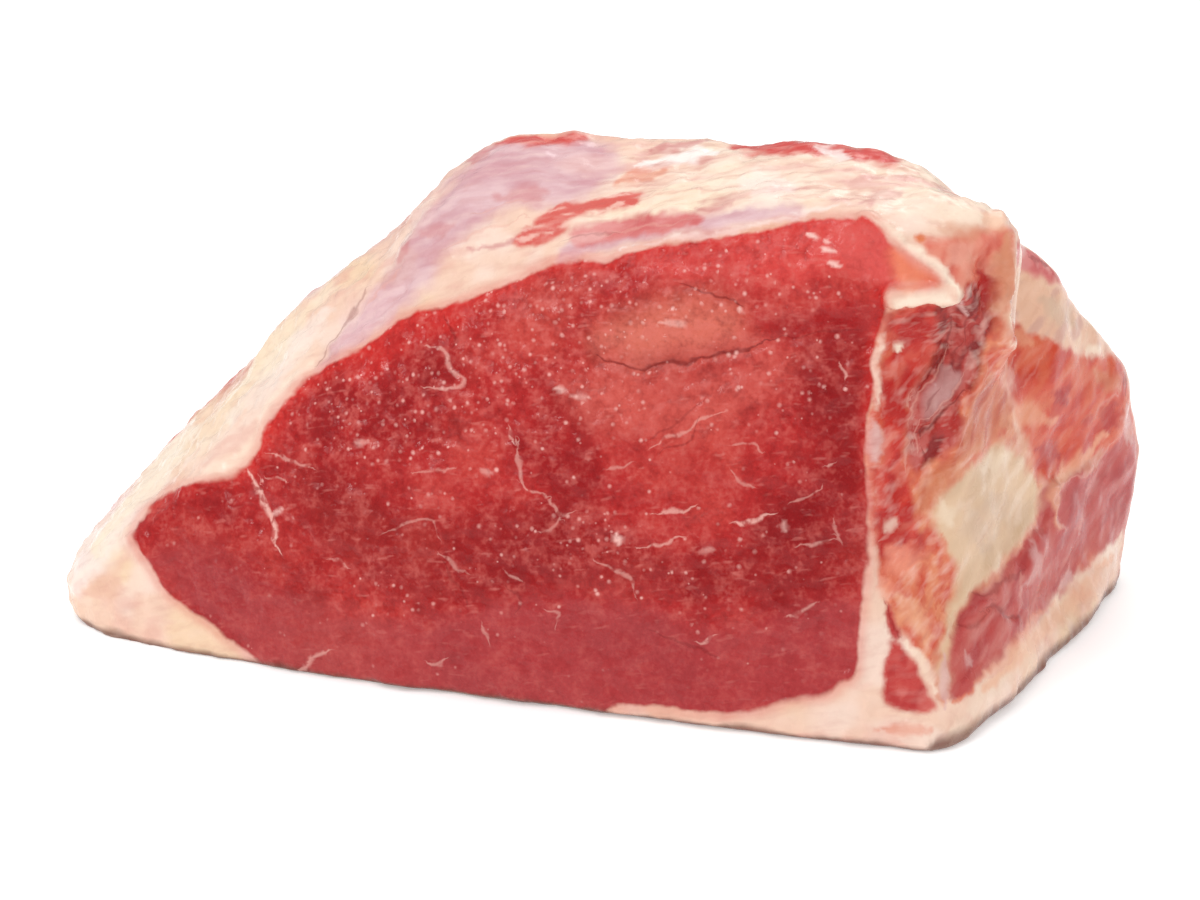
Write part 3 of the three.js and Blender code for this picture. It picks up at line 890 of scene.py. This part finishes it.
class Graph:
    """Short calls that add a material's nodes."""

    def __init__(self, name):
        self.material = bpy.data.materials.new(name)
        self.material.use_nodes = True
        self.tree = self.material.node_tree
        self.shader = self.tree.nodes["Principled BSDF"]
        self.place = self.node("ShaderNodeTexCoord").outputs["Object"]

    def node(self, kind, **settings):
        node = self.tree.nodes.new(kind)
        for name, value in settings.items():
            setattr(node, name, value)
        return node

    def put(self, socket, value):
        if isinstance(value, bpy.types.NodeSocket):
            self.tree.links.new(value, socket)
        else:
            socket.default_value = value

    def shade(self, name, value):
        """Sets or links one of the shader's values."""
        self.put(self.shader.inputs[name], value)

    def field(self, name, output="Fac"):
        return self.node("ShaderNodeAttribute", attribute_name=name).outputs[output]

    def math(self, operation, a, b=0.0):
        node = self.node("ShaderNodeMath", operation=operation)
        self.put(node.inputs[0], a)
        self.put(node.inputs[1], b)
        return node.outputs[0]

    def times(self, a, b):
        return self.math("MULTIPLY", a, b)

    def total(self, *values):
        result = values[0]
        for value in values[1:]:
            result = self.math("ADD", result, value)
        return result

    def step(self, value, low, high, start=0.0, end=1.0, soft=True):
        """From start to end as the value goes from low to high, with soft or plain ends."""
        node = self.node("ShaderNodeMapRange", interpolation_type="SMOOTHSTEP" if soft else "LINEAR")
        self.put(node.inputs["Value"], value)
        for name, number in (("From Min", low), ("From Max", high), ("To Min", start), ("To Max", end)):
            node.inputs[name].default_value = number
        return node.outputs[0]

    def mix(self, share, a, b):
        """Colour b over colour a."""
        node = self.node("ShaderNodeMix", data_type="RGBA")
        self.put(node.inputs["Factor"], share)
        colours = [socket for socket in node.inputs if socket.type == "RGBA"]
        for socket, colour in zip(colours, (a, b)):
            self.put(socket, colour if isinstance(colour, bpy.types.NodeSocket) else srgb(*colour) + (1,))
        return next(socket for socket in node.outputs if socket.type == "RGBA")

    def between(self, share, a, b):
        """The number a where the share is 0, and b where it is 1."""
        return self.total(a, self.times(share, self.math("SUBTRACT", b, a)))

    def vector(self, operation, a, b):
        node = self.node("ShaderNodeVectorMath", operation=operation)
        self.put(node.inputs[0], a)
        self.put(node.inputs["Scale" if operation == "SCALE" else 1], b)
        return node.outputs[0]

    def noise(self, spacing, detail=2, along=None, stretch=4):
        """Noise from 0 to 1, with bumps about that many millimetres apart, longer along a direction."""
        place = self.place
        if along is not None:
            lengthwise = self.vector("PROJECT", place, along)
            place = self.vector("SUBTRACT", place, self.vector("SCALE", lengthwise, 1 - 1 / stretch))
        node = self.node("ShaderNodeTexNoise")
        self.put(node.inputs["Vector"], place)
        node.inputs["Scale"].default_value = 1 / (spacing * MM)
        node.inputs["Detail"].default_value = detail
        return node.outputs["Fac"]

    def line(self, name, uneven):
        """Share of the lines of a field, with uneven edges."""
        width = self.total(self.math("ABSOLUTE", self.field(name)), uneven)
        return self.times(self.step(width, 0.6, 1.7, 1, 0), self.field(name + "_mask"))

    def glint_dots(self, spacing, small, large, more=0.0):
        """Painted glint dots, from small to large shares of their spacing, and more where a field says so."""
        node = self.node("ShaderNodeTexVoronoi")
        self.put(node.inputs["Vector"], self.place)
        node.inputs["Scale"].default_value = 1 / (spacing * MM)
        chance = self.node("ShaderNodeSeparateColor")
        self.put(chance.inputs[0], node.outputs["Color"])
        size = self.step(chance.outputs[0], 0.0, 1.0, small, large)
        out = self.math("DIVIDE", node.outputs["Distance"], size)
        there = self.step(self.total(chance.outputs[1], more), 0.82, 1.0)
        return self.times(self.step(out, 0.1, 1.0, 1, 0), there)

    def bump(self, height):
        """A bump from a height in millimetres."""
        node = self.node("ShaderNodeBump")
        node.inputs["Distance"].default_value = MM
        self.put(node.inputs["Height"], height)
        return node.outputs[0]


def cut_looks(g, ragged):
    """Cut face colour and height: grain of many tones, strands, painted cleft shade, painted glints and
    sheen.
    """
    rough = g.field("cut", "Alpha")
    glint = g.field("glint")
    mottle = g.noise(5.0)
    patchy = g.noise(2.5)
    grain = g.noise(1.2, detail=1)
    mixed = g.times(g.total(g.times(mottle, 0.6), g.times(grain, 0.4), -0.5), rough)
    colour = g.field("cut", "Color")
    colour = g.mix(g.step(mixed, 0.0, 0.25, 0, 0.5, soft=False), colour, FINE_COLOURS["pale grain"])
    colour = g.mix(g.step(mixed, 0.0, -0.25, 0, 0.6, soft=False), colour, FINE_COLOURS["dark grain"])
    dash = g.times(g.step(g.noise(1.4, 1, ALONG_DASHES, 3.5), 0.62, 0.8), rough)
    colour = g.mix(g.times(dash, 0.28), colour, FINE_COLOURS["dash"])
    broken = g.step(patchy, 0.36, 0.5, 0.25, 1)
    strand = g.times(g.times(g.line("strand", ragged), broken), 0.8)
    colour = g.mix(strand, colour, LINE_COLOURS["strand"])
    # Painted shade: dark lines in the cut's clefts.
    colour = g.mix(g.times(g.line("cleft_shade", ragged), 0.7), colour, LINE_COLOURS["cleft_shade"])
    # Painted glints: pale dots, many where the glint field is high.
    glint_speck = g.glint_dots(1.7, 0.22, 0.52, g.total(g.times(glint, 0.65), -0.08))
    bright = g.step(patchy, 0.35, 0.65, 0.3, 0.9)
    colour = g.mix(g.times(glint_speck, bright), colour, FINE_COLOURS["painted_glint"])
    # Painted sheen: a pale pink haze where the painted glints gather.
    haze = g.times(g.step(patchy, 0.48, 0.68), g.times(glint, 0.3))
    colour = g.mix(haze, colour, FINE_COLOURS["haze"])
    # Painted glints: a few stray pale dots all over the cut.
    stray_glint = g.glint_dots(3.2, 0.08, 0.24)
    colour = g.mix(g.times(stray_glint, 0.7), colour, FINE_COLOURS["stray_glint"])
    return colour, g.total(g.times(g.times(mottle, rough), 0.35), g.times(grain, 0.15))


def outside_looks(g, ragged):
    """Colour and height of fat, skin and bare muscle: fine streaks, fibres and creases of painted shade."""
    streaky = g.field("outside", "Alpha")
    top = g.noise(2.2, 2, ALONG_TOP, 4)
    heel = g.noise(2.6, 2, ALONG_HEEL, 3.5)
    streak = g.times(g.total(g.between(g.field("heel"), top, heel), -0.5), streaky)
    colour = g.field("outside", "Color")
    colour = g.mix(g.step(streak, 0.0, 0.2, 0, 0.5, soft=False), colour, FINE_COLOURS["pale streak"])
    colour = g.mix(g.step(streak, 0.0, -0.2, 0, 0.5, soft=False), colour, FINE_COLOURS["dark streak"])
    dash = g.times(g.step(g.noise(1.8, 1, ALONG_HEEL, 3.5), 0.56, 0.72), g.times(streaky, streaky))
    colour = g.mix(g.times(dash, 0.3), colour, LINE_COLOURS["fibre"])
    fibre = g.times(g.line("fibre", ragged), 0.55)
    # Painted shade: dark lines in creases and folds, and the shadow under the lip.
    crease = g.times(g.line("crease", ragged), 0.64)
    colour = g.mix(fibre, colour, LINE_COLOURS["fibre"])
    colour = g.mix(crease, colour, LINE_COLOURS["crease"])
    height = g.total(g.times(streak, 0.3), g.times(ragged, 0.2), g.times(fibre, 0.2))
    calm = g.step(g.field("heel"), 0, 1, 1, 0.3)
    return colour, g.times(g.total(height, g.times(crease, -0.06)), calm)


def beef_material():
    g = Graph("raw_beef")
    ragged = g.noise(4)
    border = g.total(g.field("lean"), g.times(g.total(ragged, -0.5), 1.6))
    is_lean = g.step(g.math("DIVIDE", border, g.field("blur")), -1, 1)
    lean, lean_height = cut_looks(g, ragged)
    outside, outside_height = outside_looks(g, ragged)
    g.shade("Base Color", g.mix(is_lean, outside, lean))
    g.shade("Roughness", g.step(ragged, 0.35, 0.65, DRY, WET))
    g.shade("Normal", g.bump(g.between(is_lean, outside_height, lean_height)))
    g.shade("IOR", IOR)
    g.shade("Specular IOR Level", SPECULAR)
    return g.material


def add_camera():
    camera = bpy.data.objects.new("camera", bpy.data.cameras.new("camera"))
    camera.data.lens = LENS_MM
    camera.data.sensor_width = SENSOR_MM
    camera.location = EYE
    camera.rotation_euler = (-BACK).to_track_quat("-Z", "Y").to_euler()
    SCENE.collection.objects.link(camera)
    SCENE.camera = camera


def add_stage():
    mesh = bpy.data.meshes.new("floor")
    corners = [(FLOOR_HALF * x, FLOOR_HALF * y, 0) for x, y in ((-1, -1), (1, -1), (1, 1), (-1, 1))]
    mesh.from_pydata(corners, [], [(0, 1, 2, 3)])
    floor = bpy.data.objects.new("floor", mesh)
    SCENE.collection.objects.link(floor)
    g = Graph("white_floor")
    g.shade("Base Color", (FLOOR_GREY, FLOOR_GREY, FLOOR_GREY, 1))
    g.shade("Roughness", FLOOR_ROUGHNESS)
    g.shade("Emission Color", (1, 1, 1, 1))
    g.shade("Emission Strength", FLOOR_LIGHT)
    mesh.materials.append(g.material)


def add_light(name, place, size, watts):
    light = bpy.data.lights.new(name, "AREA")
    light.size = size
    light.energy = watts
    lamp = bpy.data.objects.new(name, light)
    lamp.location = place
    lamp.rotation_euler = (LAMP_AIM - Vector(place)).to_track_quat("-Z", "Y").to_euler()
    SCENE.collection.objects.link(lamp)


def add_lights():
    world = bpy.data.worlds.new("studio")
    world.use_nodes = True
    nodes, links = world.node_tree.nodes, world.node_tree.links
    height = nodes.new("ShaderNodeSeparateXYZ")
    links.new(nodes.new("ShaderNodeTexCoord").outputs["Generated"], height.inputs[0])
    sky = nodes.new("ShaderNodeMapRange")
    links.new(height.outputs["Z"], sky.inputs["Value"])
    sky.inputs["To Min"].default_value = HORIZON
    sky.inputs["To Max"].default_value = ZENITH
    links.new(sky.outputs[0], nodes["Background"].inputs["Strength"])
    nodes["Background"].inputs["Color"].default_value = (1, 1, 1, 1)
    SCENE.world = world
    for name, (place, size, watts) in LAMPS.items():
        add_light(name, place, size, watts)
    SCENE.view_settings.view_transform = "Standard"


add_camera()
make_beef()
add_stage()
add_lights()
bpy.context.view_layer.update()
